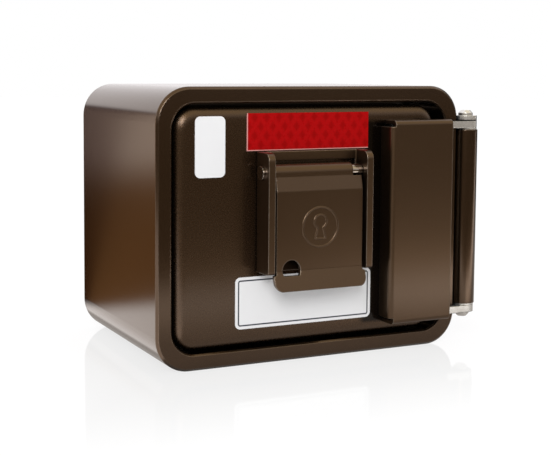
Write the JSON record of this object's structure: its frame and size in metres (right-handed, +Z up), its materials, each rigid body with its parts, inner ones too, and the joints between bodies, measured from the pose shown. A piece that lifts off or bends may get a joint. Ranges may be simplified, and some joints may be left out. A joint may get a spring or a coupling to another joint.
{
  "type": "key box",
  "caption": "Small steel wall key box with a flush side-hinged door, a hinged flap over its lock, a keyed sliding bolt and a gasketed rim.",
  "frame": {"origin": "centre of the back face, where the box meets the wall", "axes": "+X to the hinge side, +Y back to the wall, +Z up"},
  "size_m": [0.1365, 0.0941, 0.1016],
  "materials": {
    "case_paint": "dark bronze powder coat, semi-gloss with a fine orange peel",
    "sheet_paint": "dark bronze powder coat, satin",
    "stainless": "bright stainless with fine turning marks",
    "lock_metal": "nickel plate",
    "plug_brass": "satin brass",
    "zinc_plate": "zinc plate",
    "gasket_rubber": "matt black",
    "red_reflective": "red prismatic reflective film",
    "label_white": "bare white film with a ruled border"
  },
  "bodies": {
    "housing": {"housing_shell": "case_paint", "back_plate": "case_paint", "gasket_ledge": "case_paint", "hinge_barrel": "case_paint", "thrust_washer_upper": "stainless", "thrust_washer_lower": "stainless"},
    "door": {"door_plate": "case_paint", "door_gasket": "gasket_rubber", "hinge_bracket": "stainless", "hinge_pin": "stainless", "hinge_cover": "sheet_paint", "cover_bracket": "sheet_paint", "cover_pin": "stainless", "flap_spacer": "stainless", "lock_body": "lock_metal", "lock_nut": "lock_metal", "bolt_guide_left": "zinc_plate", "bolt_guide_right": "zinc_plate", "reflective_strip": "red_reflective", "record_label": "label_white", "listing_label": "label_white"},
    "flap": {"lock_cover": "sheet_paint"},
    "plug": {"lock_plug": "plug_brass", "drive_crank": "zinc_plate"},
    "bolt": {"dead_bolt": "zinc_plate"}
  },
  "joints": [
    {"name": "door_swing", "type": "hinge", "parent": "housing", "child": "door", "pos_m": [0.06826, -0.08095, -0.0008], "axis": [0, 0, 1], "range_deg": [0, 180]},
    {"name": "flap_swing", "type": "hinge", "parent": "door", "child": "flap", "pos_m": [-0.0033, -0.08785, 0.0199], "axis": [-1, 0, 0], "range_deg": [0, 160]},
    {"name": "plug_turn", "type": "hinge", "parent": "door", "child": "plug", "pos_m": [-0.0033, -0.08255, 0], "axis": [0, -1, 0], "range_deg": [0, 90]},
    {"name": "bolt_slide", "type": "slide", "parent": "door", "child": "bolt", "axis": [-1, 0, 0], "range_m": [0, 0.00848]}
  ],
  "couplings": [
    {"joint": "plug_turn", "follows": "bolt_slide", "rad_per_m": 185.12}
  ]
}
